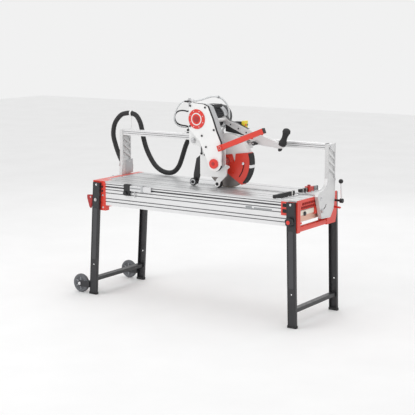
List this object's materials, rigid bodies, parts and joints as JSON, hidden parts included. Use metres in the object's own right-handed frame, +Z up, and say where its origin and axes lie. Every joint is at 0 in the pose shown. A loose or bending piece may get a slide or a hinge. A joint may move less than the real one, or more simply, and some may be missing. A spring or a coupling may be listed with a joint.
{
  "type": "tile cutter",
  "caption": "Bridge tile saw: folding-leg table with water tank, tilting rail, sliding plunge head with belt-driven diamond blade, swing guard and transport wheels.",
  "frame": {"origin": "middle of the machine's footprint on the floor, without the hanging conduit", "axes": "+X along the cut towards the operator's end, +Y towards the back, +Z up"},
  "size_m": [1.899, 0.613, 1.3973],
  "materials": {
    "rail_aluminium": "brushed anodised",
    "casting_red": "red powder coat",
    "sheet_red": "red powder coat",
    "casting_grey": "silver powder coat",
    "sheet_white": "semi-gloss white",
    "leg_black": "satin black",
    "stainless": "stainless sheet",
    "steel_parts": "machined",
    "blade_steel": "ground disc",
    "black_plastic": "moulded",
    "fence_black": "black anodised",
    "rubber_black": "soft",
    "motor_paint": "dark painted",
    "wheel_grey": "grey tyre on plastic hub",
    "red_plastic": "moulded",
    "green_plastic": "moulded",
    "yellow_plastic": "moulded",
    "clear_tube": "clear flexible tube"
  },
  "bodies": {
    "table": {"front_rail": "rail_aluminium", "back_rail": "rail_aluminium", "front_deck": "rail_aluminium", "back_deck": "rail_aluminium", "left_casting": "casting_red", "right_casting": "casting_red", "handle_bars": "sheet_red", "water_tank": "stainless", "water_pump": "black_plastic", "fence_bars": "fence_black", "table_fasteners": "steel_parts"},
    "left_leg_frame": {"left_legs": "leg_black", "left_feet": "rubber_black", "wheel_forks": "leg_black"},
    "right_leg_frame": {"right_legs": "leg_black", "right_feet": "rubber_black"},
    "front_wheel": {"front_wheel": "wheel_grey"},
    "back_wheel": {"back_wheel": "wheel_grey"},
    "bridge": {"left_upright": "casting_grey", "right_upright": "casting_grey", "beam": "rail_aluminium", "conduit_clips": "black_plastic", "power_conduit": "rubber_black"},
    "carriage": {"carriage_truck": "casting_grey", "carriage_plate": "sheet_white"},
    "head": {"head_plate": "sheet_white", "belt_case": "casting_grey", "belt_cover": "sheet_white", "cover_discs": "red_plastic", "spindle_housing": "steel_parts", "spindle_bearings": "steel_parts", "blade_cover": "sheet_white", "motor_body": "motor_paint", "fan_cover": "black_plastic", "handle_arm": "casting_grey", "hand_grip": "rubber_black", "switch_box": "yellow_plastic", "water_valve": "steel_parts", "water_hoses": "clear_tube", "motor_cable": "rubber_black", "drive_belt": "rubber_black", "roller_arms": "black_plastic", "head_screws": "black_plastic"},
    "spindle": {"spindle_shaft": "steel_parts", "driven_pulley": "steel_parts", "saw_blade": "blade_steel"},
    "rotor": {"motor_rotor": "steel_parts"},
    "guard": {"guard_shell": "sheet_red", "guard_edge": "rubber_black"},
    "lock_bar": {"lock_bar": "sheet_red"},
    "valve_tap": {"valve_tap": "black_plastic"},
    "start_button": {"start_button": "green_plastic"},
    "stop_button": {"stop_button": "red_plastic"},
    "left_guide_roller": {"left_guide_roller": "rubber_black"},
    "right_guide_roller": {"right_guide_roller": "rubber_black"},
    "fence_stop": {"fence_stop": "red_plastic"},
    "front_stop": {"front_stop": "black_plastic"},
    "leg_lever": {"leg_lever": "red_plastic"},
    "leg_knob": {"leg_knob": "black_plastic"},
    "tilt_lever": {"tilt_lever": "black_plastic"}
  },
  "joints": [
    {"name": "left_leg_fold", "type": "hinge", "parent": "table", "child": "left_leg_frame", "pos_m": [-0.7145, -0.0005, 0.67], "axis": [0, -1, 0], "range_deg": [0, 78]},
    {"name": "right_leg_fold", "type": "hinge", "parent": "table", "child": "right_leg_frame", "pos_m": [0.8215, -0.0005, 0.67], "axis": [0, 1, 0], "range_deg": [0, 78]},
    {"name": "front_wheel_spin", "type": "hinge", "parent": "left_leg_frame", "child": "front_wheel", "pos_m": [-0.8625, -0.2625, 0.065], "axis": [0, 1, 0], "continuous": true},
    {"name": "back_wheel_spin", "type": "hinge", "parent": "left_leg_frame", "child": "back_wheel", "pos_m": [-0.8625, 0.2815, 0.065], "axis": [0, 1, 0], "continuous": true},
    {"name": "bridge_tilt", "type": "hinge", "parent": "table", "child": "bridge", "pos_m": [0.0535, -0.0005, 0.788], "axis": [-1, 0, 0], "range_deg": [0, 45]},
    {"name": "carriage_slide", "type": "slide", "parent": "bridge", "child": "carriage", "axis": [1, 0, 0], "range_m": [-0.775, 0.5], "deforming": ["power_conduit"]},
    {"name": "head_plunge", "type": "hinge", "parent": "carriage", "child": "head", "pos_m": [-0.0215, -0.0405, 1.105], "axis": [0, -1, 0], "range_deg": [0, 22], "deforming": ["motor_cable", "water_hoses"]},
    {"name": "motor_spin", "type": "hinge", "parent": "head", "child": "rotor", "pos_m": [0.0545, -0.0005, 1.254], "axis": [0, 1, 0], "continuous": true},
    {"name": "blade_spin", "type": "hinge", "parent": "head", "child": "spindle", "pos_m": [0.1895, -0.0005, 0.972], "axis": [0, 1, 0], "continuous": true},
    {"name": "guard_swing", "type": "hinge", "parent": "head", "child": "guard", "pos_m": [0.1895, -0.0005, 0.972], "axis": [0, -1, 0], "range_deg": [0, 34]},
    {"name": "lock_bar_swing", "type": "hinge", "parent": "head", "child": "lock_bar", "pos_m": [0.2535, -0.1825, 1.082], "axis": [0, -1, 0], "range_deg": [0, 35]},
    {"name": "tap_turn", "type": "hinge", "parent": "head", "child": "valve_tap", "pos_m": [-0.0505, -0.1205, 1.361], "axis": [0, -1, 0], "range_deg": [0, 90]},
    {"name": "start_press", "type": "slide", "parent": "head", "child": "start_button", "axis": [-1, 0, 0], "range_m": [0, 0.004], "stiffness_N_per_m": 700},
    {"name": "stop_press", "type": "slide", "parent": "head", "child": "stop_button", "axis": [-1, 0, 0], "range_m": [0, 0.004], "stiffness_N_per_m": 700},
    {"name": "left_roller_spin", "type": "hinge", "parent": "head", "child": "left_guide_roller", "pos_m": [-0.0355, -0.0735, 0.827], "axis": [0, 1, 0], "continuous": true},
    {"name": "right_roller_spin", "type": "hinge", "parent": "head", "child": "right_guide_roller", "pos_m": [0.1575, -0.0635, 0.827], "axis": [0, 1, 0], "continuous": true},
    {"name": "fence_stop_slide", "type": "slide", "parent": "table", "child": "fence_stop", "axis": [0.0436, 0.999, 0], "range_m": [-0.09, 0.07]},
    {"name": "front_stop_slide", "type": "slide", "parent": "table", "child": "front_stop", "axis": [1, 0, 0], "range_m": [-0.09, 0.9]},
    {"name": "leg_lever_flip", "type": "hinge", "parent": "table", "child": "leg_lever", "pos_m": [-0.7745, -0.2405, 0.682], "axis": [0, 1, 0], "range_deg": [0, 90]},
    {"name": "leg_knob_turn", "type": "hinge", "parent": "table", "child": "leg_knob", "pos_m": [0.8215, -0.2905, 0.67], "axis": [0, 1, 0], "continuous": true},
    {"name": "tilt_lever_turn", "type": "hinge", "parent": "table", "child": "tilt_lever", "pos_m": [0.9035, 0.2255, 0.743], "axis": [-1, 0, 0], "range_deg": [0, 60]}
  ],
  "couplings": [
    {"joint": "blade_spin", "follows": "motor_spin", "ratio": 1}
  ]
}
